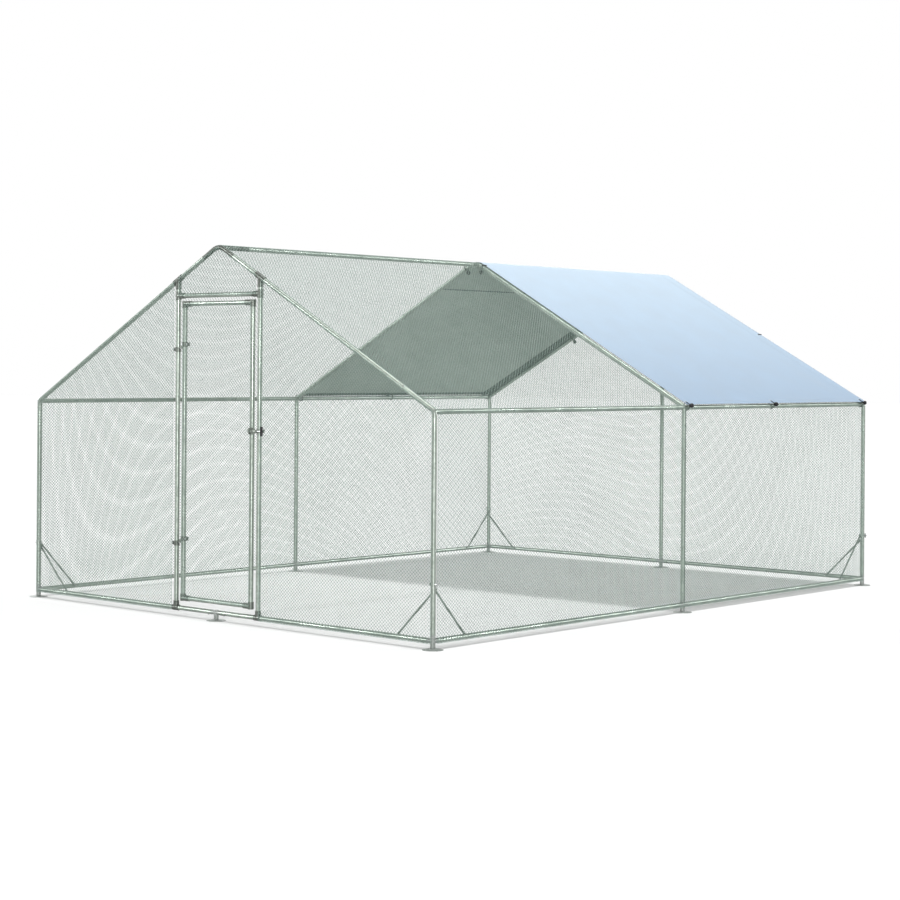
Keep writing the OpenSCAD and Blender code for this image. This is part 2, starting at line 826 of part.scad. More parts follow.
// Corner braces: a rod with a flattened, drilled plate at each end
module brace(b) {
    lift = tube_r + seat_gap;
    dir = unit(b[1] - b[0]);
    l = norm(b[1] - b[0]);
    place(b[0] + b[2] * lift, dir, b[2])
        difference() {
            union() {
                for (x = [0, l]) translate([x, 0, 0]) cylinder(d = brace_w, h = brace_t);
                for (x = [0, l - brace_neck_l])
                    translate([x, -brace_neck_w / 2, 0]) cube([brace_neck_l, brace_neck_w, brace_t]);
                translate([brace_neck_l, 0, brace_t / 2])
                    rotate([0, 90, 0]) cylinder(d = brace_d, h = l - 2 * brace_neck_l);
            }
            for (x = [0, l])
                translate([x, 0, -overrun]) cylinder(d = brace_hole_d, h = brace_t + 2 * overrun);
        }
}
module corner_braces() color("silver") for (b = concat(end_braces(), side_braces())) brace(b);

module brace_screw(at, dir) {
    head = at + dir * (tube_r + seat_gap + brace_t);
    top = head + dir * brace_head_h;
    bar(at + dir * tube_r / 2, top, brace_screw_d);
    bar(head, top, brace_head_d);
}
module brace_screws()
    color("darkgray") {
        for (b = end_braces(), at = [b[0], b[1]]) brace_screw(at, b[2]);
        for (b = side_braces()) brace_screw(b[1], b[2]);
    }

module brace_bolts()
    color("darkgray")
        for (b = side_braces()) {
            head = b[0] + b[2] * (tube_r + seat_gap + brace_t);
            top = head + b[2] * brace_head_h;
            bar(b[0] - b[2] * (tube_r + wing_boss_l + wing_tail), top, brace_screw_d);
            bar(head, top, brace_head_d);
        }

module brace_wing_nuts()
    color("silver")
        for (b = side_braces())
            place(b[0] - b[2] * (tube_r + seat_gap), along, -b[2])
                difference() {
                    union() {
                        cylinder(d = wing_boss_d, h = wing_boss_l);
                        translate([-wing_t / 2, -wing_reach, wing_boss_l / 3])
                            cube([wing_t, 2 * wing_reach, wing_boss_l]);
                    }
                    translate([0, 0, -overrun])
                        cylinder(d = brace_hole_d, h = 2 * wing_boss_l + 2 * overrun);
                }

// Nets: a convex outline pierced by staggered diamond gaps that its border clips
module net(pts, mesh) {
    border = inset(pts, net_border);
    low = [min([for (p = pts) p[0]]), min([for (p = pts) p[1]])];
    high = [max([for (p = pts) p[0]]), max([for (p = pts) p[1]])];
    half = mesh / 2 - strand_w / sqrt(2);
    gaps = [
        for (i = [0 : 2 * ceil((high[0] - low[0]) / mesh)], j = [0 : 2 * ceil((high[1] - low[1]) / mesh)])
            let (
                c = low + [i, j] * mesh / 2,
                d = [c - [0, half], c + [half, 0], c + [0, half], c - [half, 0]],
                g = (i + j) % 2 == 0 ? clip(d, border) : []
            )
            if (len(g) > 2 && flat_area(g) > 2 * half * half * least_gap_share) g
    ];
    loops = concat([pts], gaps);
    firsts = [for (i = 0, n = 0; i < len(loops); n = n + len(loops[i]), i = i + 1) n];
    linear_extrude(net_t)
        polygon(
            points = [for (l = loops) each l],
            paths = [for (i = [0 : len(loops) - 1]) [for (k = [0 : len(loops[i]) - 1]) firsts[i] + k]]
        );
}

module front_net(pts, mesh) translate([0, front_y - front_stand, 0]) rotate([90, 0, 0]) net(pts, mesh);

module front_side_net(side) {
    inner = door_post_x + post_room;
    pts = [
        [side * inner, net_foot], [side * post_x, net_foot],
        [side * post_x, eave_h], [side * inner, roof_axis_z(inner)]
    ];
    color("darkseagreen") front_net(side > 0 ? pts : [pts[1], pts[0], pts[3], pts[2]], front_mesh);
}
module front_left_net() front_side_net(-1);
module front_right_net() front_side_net(1);

module front_gable_net() {
    w = door_post_x - post_room;
    color("darkseagreen")
        front_net([[-w, header_h], [w, header_h], [w, roof_axis_z(w)], [0, ridge_z], [-w, roof_axis_z(w)]],
                  front_mesh);
}

module door_net()
    color("darkseagreen")
        front_net([
            [-stile_x, door_bottom_h], [stile_x, door_bottom_h],
            [stile_x, door_top_h], [-stile_x, door_top_h]
        ], front_mesh);

module wall_net(side)
    color("darkseagreen")
        difference() {
            place([side * (post_x + wall_stand), 0, 0], side * along, side * across)
                net([
                    [front_y + corner_room, net_foot], [rear_y - corner_room, net_foot],
                    [rear_y - corner_room, eave_h], [front_y + corner_room, eave_h]
                ], wall_mesh);
            tie_loops(eave_ties(side), cord_d + 2 * cord_gap);
        }
module left_wall_net() mirror([1, 0, 0]) wall_net(1);
module right_wall_net() wall_net(1);

module rear_wall_net()
    color("darkseagreen")
        difference() {
            translate([0, rear_y + wall_stand + net_t, 0])
                rotate([90, 0, 0])
                    net([
                        [-post_x, net_foot], [post_x, net_foot], [post_x, eave_h],
                        [0, ridge_z], [-post_x, eave_h]
                    ], wall_mesh);
            tie_loops(rafter_ties(rear_y, rear_tie_s), cord_d + 2 * cord_gap);
        }

// Roof net on the right slope of one bay, carried over the bend to the middle of the ridge
module roof_net(from, to) {
    low_r = apex_bend_r + wall_stand + crest_skin;
    high_r = apex_bend_r + wall_stand + net_t - crest_skin;
    turn = asin(half_seam / low_r);
    angles = [for (i = [0 : crest_steps]) 90 - pitch + (pitch - turn) * i / crest_steps];
    root = net_border / 2 * [cos(pitch), -sin(pitch)];
    crest = concat(
        [low_r * [cos(angles[0]), sin(angles[0])] + root],
        [for (a = angles) low_r * [cos(a), sin(a)]],
        [for (i = [crest_steps : -1 : 0]) high_r * [cos(angles[i]), sin(angles[i])]],
        [high_r * [cos(angles[0]), sin(angles[0])] + root]
    );
    top = rafter_l - apex_leg;
    place([post_x, 0, eave_h] + roof_normal(1) * wall_stand, along, roof_normal(1))
        net([[from, -eave_lap], [to, -eave_lap], [to, top], [from, top]], wall_mesh);
    translate([0, to - crest_skin, apex_bend_z])
        rotate([90, 0, 0])
            linear_extrude(to - from - 2 * crest_skin) polygon(crest);
}

module roof_nets(from, to, ties)
    color("darkseagreen")
        difference() {
            for (side = sides) mirror([side < 0 ? 1 : 0, 0, 0]) roof_net(from, to);
            tie_loops(ties, cord_d + 2 * cord_gap);
            children();
        }
module front_roof_nets()
    roof_nets(front_y, middle_y - half_seam, rafter_ties(middle_y, middle_tie_s))
        for (side = sides)
            bar(rafter_clamp_end(side, -1, net_gap), rafter_clamp_end(side, 1, net_gap),
                clamp_d + 2 * net_gap);
module rear_roof_nets() roof_nets(middle_y + half_seam, rear_y, cover_ties());

// Cover: one sheet over both slopes of the rear bay, with a hole for each tie
function cover_ties() = concat(
    eave_ties(-1), eave_ties(1), rafter_ties(middle_y, middle_tie_s), rafter_ties(rear_y, rear_tie_s)
);
function cover_line(lift) = concat(
    [[-post_x, eave_h] + rotated([eave_lap, lift], -1)],
    [for (i = [-crest_steps : crest_steps])
        let (a = pitch * i / crest_steps) [0, apex_bend_z] + (apex_bend_r + lift) * [sin(a), cos(a)]],
    [[post_x, eave_h] + rotated([eave_lap, lift], 1)]
);
function rotated(v, side) = [
    side * (v[0] * cos(pitch) + v[1] * sin(pitch)), -v[0] * sin(pitch) + v[1] * cos(pitch)
];

module roof_cover() {
    under = cover_line(cover_stand);
    over = cover_line(cover_stand + cover_t);
    color("lightsteelblue")
        difference() {
            translate([0, rear_y + cover_tail, 0])
                rotate([90, 0, 0])
                    linear_extrude(rear_y + cover_tail - middle_y - cover_start)
                        polygon(concat(under, [for (i = [len(over) - 1 : -1 : 0]) over[i]]));
            tie_loops(cover_ties(), cord_d + 2 * cord_gap);
        }
}

// Ties: a ball on a loop of elastic cord that passes through the cover and round a tube
module at_tie(t)
    place(t[0] + t[2] * t[4], cross(t[1], t[2]), t[1])
        rotate([0, 0, t[3]])
            children();

module tie_loops(ties, d)
    for (t = ties)
        at_tie(t)
            rotate_extrude() translate([loop_r, 0]) circle(d = d);

module tie_balls()
    color("black")
        for (t = cover_ties()) at_tie(t) translate([loop_r, 0, 0]) sphere(d = ball_d);

module tie_cords()
    color("black")
        difference() {
            tie_loops(cover_ties(), cord_d);
            for (t = cover_ties()) at_tie(t) translate([loop_r, 0, 0]) sphere(d = ball_d + 2 * seat_gap);
        }

front_posts();
middle_posts();
rear_posts();
rear_centre_post();
front_rafters();
middle_rafters();
rear_rafters();
front_ridge_tube();
rear_ridge_tube();
left_eave_rails();
right_eave_rails();
front_base_rails();
rear_base_rails();
left_base_rails();
right_base_rails();
door_posts();
door_header();
front_apex_connector();
middle_apex_connector();
rear_apex_connector();
front_eave_elbows();
middle_eave_elbows();
rear_eave_elbows();
corner_feet();
middle_feet();
centre_feet();
frame_screws();
sill_brackets();
header_brackets();
door_rafter_clamps();
hinge_post_clamps();
hinge_pins();
latch_carrier();
post_clamp_bolts();
corner_braces();
brace_screws();
brace_bolts();
brace_wing_nuts();
front_left_net();
front_right_net();
front_gable_net();
left_wall_net();
right_wall_net();
rear_wall_net();
front_roof_nets();
rear_roof_nets();
roof_cover();
tie_balls();
tie_cords();
door_hinge_stile();
door_latch_stile();
door_top_rail();
door_bottom_rail();
door_corner_brackets();
hinge_door_clamps();
latch_keeper();
door_clamp_bolts();
door_net();
latch_bolt();
latch_grip();
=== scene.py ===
# Walk-in poultry run: a gabled frame of galvanised tube with wire net on every side, a coated
# cover tied over the rear bay, and a framed door with clamp hinges and a sliding latch.
import math

import bpy
import numpy as np
from mathutils import Matrix, Vector


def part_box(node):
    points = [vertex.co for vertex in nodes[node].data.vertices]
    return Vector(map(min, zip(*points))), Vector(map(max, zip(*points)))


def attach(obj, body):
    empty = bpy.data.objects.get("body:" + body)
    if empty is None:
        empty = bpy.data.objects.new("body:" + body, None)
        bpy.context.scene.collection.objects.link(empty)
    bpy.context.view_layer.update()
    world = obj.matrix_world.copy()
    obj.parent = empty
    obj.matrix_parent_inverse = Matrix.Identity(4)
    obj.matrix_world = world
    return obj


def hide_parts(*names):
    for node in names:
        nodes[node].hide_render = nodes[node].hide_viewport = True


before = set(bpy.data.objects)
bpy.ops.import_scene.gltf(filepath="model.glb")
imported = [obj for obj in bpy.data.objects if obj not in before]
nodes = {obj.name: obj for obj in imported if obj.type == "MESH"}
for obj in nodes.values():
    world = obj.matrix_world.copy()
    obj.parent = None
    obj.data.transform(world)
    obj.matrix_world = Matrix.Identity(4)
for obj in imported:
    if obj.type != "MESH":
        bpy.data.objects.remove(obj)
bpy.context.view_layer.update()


# Feet
# Round pressed-steel plates, dished up to a hub with stubs for the base rails and the post.
# They are zinc plated and have a duller, whiter bloom than the tube that stands on them.
def add(tree, kind, inputs={}, **settings):
    """A new node with its settings made, and its inputs set to a value or linked to an output."""
    made = tree.nodes.new(kind)
    for key, value in settings.items():
        setattr(made, key, value)
    for key, value in inputs.items():
        if isinstance(value, bpy.types.NodeSocket):
            tree.links.new(value, made.inputs[key])
        else:
            made.inputs[key].default_value = value
    return made


def calc(tree, operation, *values):
    """The result of a calculation with values and outputs."""
    return add(tree, "ShaderNodeMath", dict(enumerate(values)), operation=operation).outputs[0]


def zinc_coat(name, dark, light, roughness, crystal, metallic=0.75):
    """Zinc on steel: flat crystals of slightly different grey, duller patches and a fine grain."""
    material = bpy.data.materials.new(name)
    material.use_nodes = True
    tree = material.node_tree
    shader = tree.nodes["Principled BSDF"]
    shader.inputs["Metallic"].default_value = metallic
    shader.inputs["Specular IOR Level"].default_value = 0.2
    where = add(tree, "ShaderNodeTexCoord").outputs["Object"]
    crystals = add(tree, "ShaderNodeTexVoronoi", {"Vector": where, "Scale": 1 / crystal})
    facet = add(tree, "ShaderNodeSeparateColor", {"Color": crystals.outputs["Color"]})
    patches = add(tree, "ShaderNodeTexNoise", {"Vector": where, "Scale": 9.0, "Detail": 5.0})
    tone = calc(tree, "MULTIPLY_ADD", facet.outputs[0], 0.4, patches.outputs[0])
    shade = add(tree, "ShaderNodeValToRGB", {0: tone})
    shade.color_ramp.elements[0].position, shade.color_ramp.elements[0].color = 0.4, (*dark, 1)
    shade.color_ramp.elements[1].position, shade.color_ramp.elements[1].color = 1.0, (*light, 1)
    tree.links.new(shade.outputs[0], shader.inputs["Base Color"])
    gloss = add(tree, "ShaderNodeMapRange", {0: patches.outputs[0], 1: 0.3, 2: 0.7,
                                             3: roughness + 0.08, 4: roughness - 0.08})
    tree.links.new(gloss.outputs[0], shader.inputs["Roughness"])
    grain = add(tree, "ShaderNodeTexNoise", {"Vector": where, "Scale": 900.0, "Detail": 2.0})
    bump = add(tree, "ShaderNodeBump", {"Height": grain.outputs[0], "Strength": 0.08, "Distance": 0.0002})
    tree.links.new(bump.outputs[0], shader.inputs["Normal"])
    return material


def dress(material, *names):
    """Put a finish on CAD nodes."""
    for name in names:
        nodes[name].data.materials.clear()
        nodes[name].data.materials.append(material)


dress(zinc_coat("foot_zinc", (0.21, 0.23, 0.215), (0.36, 0.385, 0.37), 0.4, 0.006, 0.35),
      "corner_feet", "middle_feet", "centre_feet")


# Frame tubes
# Posts, rafters, ridge, eave and base rails cut from one size of hot-dip galvanised steel tube.
# The zinc has a soft spangle and a faint green cast, with duller patches where it was handled.
dress(zinc_coat("galvanised_tube", (0.22, 0.255, 0.225), (0.34, 0.385, 0.345), 0.32, 0.009),
      "front_posts", "middle_posts", "rear_posts", "rear_centre_post",
      "front_rafters", "middle_rafters", "rear_rafters", "front_ridge_tube", "rear_ridge_tube",
      "left_eave_rails", "right_eave_rails", "front_base_rails", "rear_base_rails",
      "left_base_rails", "right_base_rails", "door_posts", "door_header",
      "door_hinge_stile", "door_latch_stile", "door_top_rail", "door_bottom_rail")


# Eave and apex connectors
# Bent steel stubs with welded arms that push into the tubes and are screwed there. Their zinc is a
# little duller than the tube's, and the front apex and the clamps on the front rafters are dark.
dress(zinc_coat("connector_zinc", (0.19, 0.22, 0.195), (0.30, 0.34, 0.305), 0.34, 0.007),
      "front_eave_elbows", "middle_eave_elbows", "rear_eave_elbows",
      "middle_apex_connector", "rear_apex_connector")
dress(zinc_coat("dark_zinc", (0.060, 0.068, 0.060), (0.15, 0.165, 0.15), 0.38, 0.007),
      "front_apex_connector", "door_rafter_clamps", "sill_brackets")


# Clamps
# Cast sleeves and split rings that hold the door surround, the door's corners, its hinges and
# its latch, each drawn tight by a bolt. Their zinc is dull and much darker than the tube's.
dress(zinc_coat("clamp_zinc", (0.085, 0.097, 0.085), (0.19, 0.21, 0.19), 0.38, 0.005),
      "header_brackets", "hinge_post_clamps", "door_corner_brackets", "hinge_door_clamps")
dress(zinc_coat("latch_zinc", (0.14, 0.16, 0.14), (0.25, 0.275, 0.25), 0.38, 0.005),
      "latch_carrier", "latch_keeper")


# Fasteners
# Plated screws, bolts and wing nuts that hold the tubes, braces and clamps, the hinges' pins and
# the latch's sliding bolt: bright zinc with small crystals.
dress(zinc_coat("fastener_zinc", (0.30, 0.32, 0.31), (0.50, 0.52, 0.51), 0.28, 0.002),
      "frame_screws", "brace_screws", "brace_bolts", "brace_wing_nuts", "hinge_pins",
      "post_clamp_bolts", "door_clamp_bolts", "latch_bolt")


# Corner braces
# Thin steel rods with flattened, drilled ends. They stand across each bottom corner of the frame,
# bolted to the post and screwed to the base rail.
dress(zinc_coat("brace_zinc", (0.15, 0.175, 0.155), (0.26, 0.295, 0.265), 0.36, 0.005), "corner_braces")


# Wire net
# Galvanised netting: thin wires, rolled a little flat, run slantwise and are twisted round each other
# wherever they cross. Each side of the run has panels of it on the outside of the tubes, with a
# thicker wire along their edges.
mesh_along = 0.020
mesh_across = 0.0172
wire_d = 0.0018
edge_d = 0.0023
twist_l = 0.0070
twist_d = 0.0038
rolled_flat = 0.4
wire_zinc = zinc_coat("net_zinc", (0.20, 0.285, 0.245), (0.32, 0.415, 0.37), 0.5, 0.004, 0.3)


def tree_for(name, sizes):
    """A Geometry Nodes tree with a geometry input, named sizes and a geometry output."""
    tree = bpy.data.node_groups.new(name, "GeometryNodeTree")
    tree.interface.new_socket("Geometry", in_out="INPUT", socket_type="NodeSocketGeometry")
    for size in sizes:
        tree.interface.new_socket(size, in_out="INPUT", socket_type="NodeSocketFloat")
    tree.interface.new_socket("Geometry", in_out="OUTPUT", socket_type="NodeSocketGeometry")
    return tree, add(tree, "NodeGroupInput")


def joined(tree, *parts):
    """Several geometries of a tree as one."""
    join = add(tree, "GeometryNodeJoinGeometry")
    for part in parts:
        tree.links.new(part, join.inputs[0])
    return join.outputs[0]


def close_tree(tree, geometry, material):
    """End a tree in real mesh with its material."""
    real = add(tree, "GeometryNodeRealizeInstances", {0: geometry})
    smooth = add(tree, "GeometryNodeSetShadeSmooth", {0: real.outputs[0]})
    dressed = add(tree, "GeometryNodeSetMaterial", {0: smooth.outputs[0], "Material": material})
    add(tree, "NodeGroupOutput", {0: dressed.outputs[0]})


def grown(name, mesh, tree, sizes):
    """The plain mesh object that a tree makes of a mesh with these sizes."""
    obj = bpy.data.objects.new(name, mesh)
    bpy.context.collection.objects.link(obj)
    modifier = obj.modifiers.new(name, "NODES")
    modifier.node_group = tree
    for item in tree.interface.items_tree:
        if item.in_out == "INPUT" and item.name in sizes:
            modifier[item.identifier] = sizes[item.name]
    graph = bpy.context.evaluated_depsgraph_get()
    result = bpy.data.meshes.new_from_object(obj.evaluated_get(graph), depsgraph=graph)
    obj.modifiers.clear()
    obj.data = result
    result.name = name
    return obj


def points_mesh(name, points, edges=(), **vectors):
    """A mesh of bare points and edges, with named vectors on its points."""
    mesh = bpy.data.meshes.new(name)
    mesh.from_pydata([tuple(p) for p in points], [tuple(e) for e in edges], [])
    for key, values in vectors.items():
        values = np.broadcast_to(np.asarray(values, np.float32), (len(points), 3))
        mesh.attributes.new(key, "FLOAT_VECTOR", "POINT").data.foreach_set("vector", values.ravel())
    return mesh


def vector_of(tree, name):
    """A named vector of each point of a tree's geometry."""
    return add(tree, "GeometryNodeInputNamedAttribute", {"Name": name}, data_type="FLOAT_VECTOR").outputs[0]


def turned_to(tree, **axes):
    """The turn that lays each axis, in order, along a named vector of each point."""
    turn, fixed = (0, 0, 0), "AUTO"
    for axis, name in axes.items():
        laid = add(tree, "FunctionNodeAlignRotationToVector",
                   {"Rotation": turn, "Vector": vector_of(tree, name)}, axis=axis, pivot_axis=fixed)
        turn = laid.outputs[0]
        fixed = axis
    return turn


def spindle(tree, length, width, flat=1.0):
    """A short four-sided bar along X that comes to a point at both ends and may be flat in Z."""
    half, radius = [calc(tree, "MULTIPLY", size, 0.5) for size in (length, width)]
    cone = add(tree, "GeometryNodeMeshCone",
               {"Vertices": 4, "Radius Top": 0.0, "Radius Bottom": radius, "Depth": half}, fill_type="NONE")
    other = add(tree, "GeometryNodeTransform", {0: cone.outputs[0], "Rotation": (math.pi, 0, 0)})
    whole = add(tree, "GeometryNodeMergeByDistance",
                {0: joined(tree, cone.outputs[0], other.outputs[0]), "Distance": 1e-5})
    along = add(tree, "GeometryNodeTransform", {0: whole.outputs[0], "Rotation": (0, math.pi / 2, 0)})
    return add(tree, "GeometryNodeTransform", {0: along.outputs[0], "Scale": (1, 1, flat)}).outputs[0]


wire_kind, edge_kind, twist_kind = 0, 1, 2
net_sizes = {"Wire": wire_d, "Edge": edge_d, "Twist length": twist_l, "Twist width": twist_d}
net_tree, net_in = tree_for("net_wires", net_sizes)
kind = add(net_tree, "GeometryNodeInputNamedAttribute", {"Name": "kind"}, data_type="INT")
is_edge, is_twist = [add(net_tree, "FunctionNodeCompare", {2: kind.outputs[0], 3: number}, data_type="INT",
                         operation="EQUAL").outputs[0] for number in (edge_kind, twist_kind)]
thickness = add(net_tree, "GeometryNodeSwitch",
                {"Switch": is_edge, "False": net_in.outputs["Wire"], "True": net_in.outputs["Edge"]},
                input_type="FLOAT")
strands = add(net_tree, "GeometryNodeMeshToCurve", {0: net_in.outputs[0]})
strands = add(net_tree, "GeometryNodeSetCurveNormal",
              {0: strands.outputs[0], "Normal": vector_of(net_tree, "face")}, mode="FREE")
section = add(net_tree, "GeometryNodeCurvePrimitiveCircle", {"Resolution": 6, "Radius": 0.5})
section = add(net_tree, "GeometryNodeTransform", {0: section.outputs[0], "Scale": (rolled_flat, 1, 1)})
wires = add(net_tree, "GeometryNodeCurveToMesh", {0: strands.outputs[0], 1: section.outputs[0],
                                                  "Scale": thickness.outputs[0], "Fill Caps": True})
twists = add(net_tree, "GeometryNodeInstanceOnPoints",
             {0: net_in.outputs[0], "Selection": is_twist,
              "Rotation": turned_to(net_tree, X="lie", Z="face"),
              "Instance": spindle(net_tree, net_in.outputs["Twist length"], net_in.outputs["Twist width"],
                                  rolled_flat)})
close_tree(net_tree, joined(net_tree, wires.outputs[0], twists.outputs[0]), wire_zinc)


def slanting_wires(low, high):
    """Both ends of every wire of a sheet of net over a rectangle."""
    wires = []
    for lean in (1, -1):
        starts = [u / mesh_along - lean * v / mesh_across
                  for u in (low[0], high[0]) for v in (low[1], high[1])]
        number = np.arange(math.floor(min(starts)), math.ceil(max(starts)) + 1)
        ends = [np.stack([mesh_along * (number + lean * v / mesh_across), np.full(len(number), v)], 1)
                for v in (low[1], high[1])]
        wires.append(np.stack(ends, 1))
    return np.concatenate(wires)


def depths(points, outline):
    """How far points lie inside each side of a convex outline that runs anticlockwise."""
    sides = np.roll(outline, -1, axis=0) - outline
    inward = np.stack([-sides[:, 1], sides[:, 0]], 1) / np.linalg.norm(sides, axis=1)[:, None]
    return (points @ inward.T) - np.sum(outline * inward, 1)


def trimmed(wires, outline):
    """The wires cut off at an outline."""
    first, last = depths(wires[:, 0], outline), depths(wires[:, 1], outline)
    rate = last - first
    crossing = -first / np.where(rate == 0, 1, rate)
    enter = np.max(np.where(rate > 0, crossing, 0), axis=1).clip(0)
    leave = np.min(np.where(rate < 0, crossing, 1), axis=1).clip(None, 1)
    kept = (leave > enter) & ~np.any((rate == 0) & (first < 0), axis=1)
    start, run = wires[:, 0], wires[:, 1] - wires[:, 0]
    return np.stack([start + run * t[:, None] for t in (enter, leave)], 1)[kept]


def cut_at(wires, stops):
    """The wires cut into lengths at some distances up the sheet, so that they can follow a bend there."""
    lengths = []
    start, run = wires[:, 0], wires[:, 1] - wires[:, 0]
    for low, high in zip(stops[:-1], stops[1:]):
        first, last = [((stop - start[:, 1]) / run[:, 1]).clip(0, 1) for stop in (low, high)]
        kept = last - first > 1e-6
        lengths.append(np.stack([start + run * t[:, None] for t in (first, last)], 1)[kept])
    return np.concatenate(lengths)


def crossings(low, high, outline):
    """The places inside an outline where two wires cross."""
    places = []
    for shift in (0, 0.5):
        along = np.arange(math.floor(low[0] / mesh_along), high[0] / mesh_along + 1) + shift
        across = np.arange(math.floor(low[1] / mesh_across), high[1] / mesh_across + 1) + shift
        grid = np.meshgrid(along * mesh_along, across * mesh_across)
        places.append(np.stack([g.ravel() for g in grid], 1))
    places = np.concatenate(places)
    return places[depths(places, outline).min(1) > twist_d]


def edge_wires(outline, step=0.025):
    """The wire along the edge of a panel, in short lengths that can follow a bend."""
    lengths = []
    for a, b in zip(outline, np.roll(outline, -1, axis=0)):
        stops = np.linspace(a, b, math.ceil(np.linalg.norm(b - a) / step) + 1)
        lengths.append(np.stack([stops[:-1], stops[1:]], 1))
    return np.concatenate(lengths)


def net_panel(name, outline, put, body, *replaced, stops=None):
    """A panel of net inside an outline. The function put turns its flat places into x, y, z."""
    outline = np.array(outline, float)
    low, high = outline.min(0), outline.max(0)
    wires = trimmed(slanting_wires(low, high), outline)
    groups = [wires if stops is None else cut_at(wires, stops), edge_wires(outline)]
    flat, edges, kinds = [], [], []
    for number, lengths in zip((wire_kind, edge_kind), groups):
        ends, pairs = np.unique(np.round(lengths.reshape(-1, 2), 6), axis=0, return_inverse=True)
        edges.append(pairs.reshape(-1, 2) + sum(map(len, flat)))
        flat.append(ends)
        kinds += [number] * len(ends)
    flat.append(crossings(low, high, outline))
    kinds += [twist_kind] * len(flat[-1])
    u, v = np.concatenate(flat).T
    nudge = 1e-4
    here, onward, upward = [np.array(put(u + a, v + b)) for a, b in ((0, 0), (nudge, 0), (0, nudge))]
    mesh = points_mesh(name, here, np.concatenate(edges).tolist(), lie=onward - here,
                       face=np.cross(onward - here, upward - here) / nudge ** 2)
    mesh.attributes.new("kind", "INT", "POINT").data.foreach_set("value", kinds)
    panel = grown(name, mesh, net_tree, net_sizes)
    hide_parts(*replaced)
    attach(panel, body)


def columns(x, y, z):
    """Places as a list of x, y, z, from whole columns or single values."""
    return np.stack(np.broadcast_arrays(x, y, z), 1).tolist()


def middle_of(node, axis):
    """Middle of a CAD node along one axis."""
    low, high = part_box(node)
    return (low[axis] + high[axis]) / 2


front_low, front_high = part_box("front_right_net")
wall_low, wall_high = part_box("right_wall_net")
eave_h = wall_high[2]
post_x = front_high[0]
pitch = math.atan((front_high[2] - eave_h) / (post_x - front_low[0]))
apex_h = eave_h + post_x * math.tan(pitch)
ridge_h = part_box("front_gable_net")[1][2]

front_y = middle_of("front_right_net", 1)
front_side = [(front_low[0], front_low[2]), (post_x, front_low[2]), (post_x, eave_h),
              (front_low[0], front_high[2])]
net_panel("front_right_netting", front_side, lambda u, v: columns(u, front_y, v),
          "frame", "front_right_net")
net_panel("front_left_netting", front_side, lambda u, v: columns(-u, front_y, v),
          "frame", "front_left_net")

gable_low, gable_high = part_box("front_gable_net")
gable_w = gable_high[0]
gable_side_h = apex_h - gable_w * math.tan(pitch)
net_panel("gable_netting",
          [(-gable_w, gable_low[2]), (gable_w, gable_low[2]), (gable_w, gable_side_h), (0, ridge_h),
           (-gable_w, gable_side_h)],
          lambda u, v: columns(u, front_y, v), "frame", "front_gable_net")

door_low, door_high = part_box("door_net")
net_panel("door_netting",
          [(door_low[0], door_low[2]), (door_high[0], door_low[2]), (door_high[0], door_high[2]),
           (door_low[0], door_high[2])],
          lambda u, v: columns(u, front_y, v), "door", "door_net")

middle_y = middle_of("middle_posts", 1)
wall_x = middle_of("right_wall_net", 0)
for bay, (start, end) in {"front": (wall_low[1], middle_y), "rear": (middle_y, wall_high[1])}.items():
    wall = [(start, wall_low[2]), (end, wall_low[2]), (end, eave_h), (start, eave_h)]
    net_panel("right_%s_netting" % bay, wall, lambda u, v: columns(wall_x, u, v),
              "frame", "right_wall_net")
    net_panel("left_%s_netting" % bay, wall, lambda u, v: columns(-wall_x, u, v),
              "frame", "left_wall_net")

rear_y = middle_of("rear_wall_net", 1)
rear_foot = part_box("rear_wall_net")[0][2]
rear_half = [(0, rear_foot), (post_x, rear_foot), (post_x, eave_h), (0, ridge_h)]
net_panel("rear_right_netting", rear_half, lambda u, v: columns(u, rear_y, v),
          "frame", "rear_wall_net")
net_panel("rear_left_netting", rear_half, lambda u, v: columns(-u, rear_y, v),
          "frame", "rear_wall_net")

bend_r = 0.09
bend_z = apex_h - bend_r / math.cos(pitch)
net_lift = wall_x - post_x
eave_lap = 0.006
ridge_seam = 0.001
slope_length = post_x / math.cos(pitch) - bend_r * math.tan(pitch) + eave_lap


def over_ridge(girth, lift):
    """Across and up from a distance over the roof: from the ridge, round its bend and down a slope."""
    r = bend_r + lift
    far = np.abs(girth)
    turn = np.minimum(far / r, pitch)
    down = np.maximum(far - r * pitch, 0)
    across = r * np.sin(turn) + down * math.cos(pitch)
    return np.sign(girth) * across, bend_z + r * np.cos(turn) - down * math.sin(pitch)


bend_girth = (bend_r + net_lift) * pitch
net_girth = bend_girth + slope_length
bend_stops = np.append(np.linspace(0, bend_girth, 5), net_girth)
for bay in ("front", "rear"):
    low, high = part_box(bay + "_roof_nets")
    slope = [(low[1], ridge_seam), (high[1], ridge_seam), (high[1], net_girth), (low[1], net_girth)]
    for side, sign in {"right": 1, "left": -1}.items():
        def on_slope(u, v):
            across, up = over_ridge(sign * v, net_lift)
            return columns(across, u, up)
        net_panel("%s_%s_roof_netting" % (bay, side), slope, on_slope, "frame",
                  bay + "_roof_nets", stops=bend_stops)


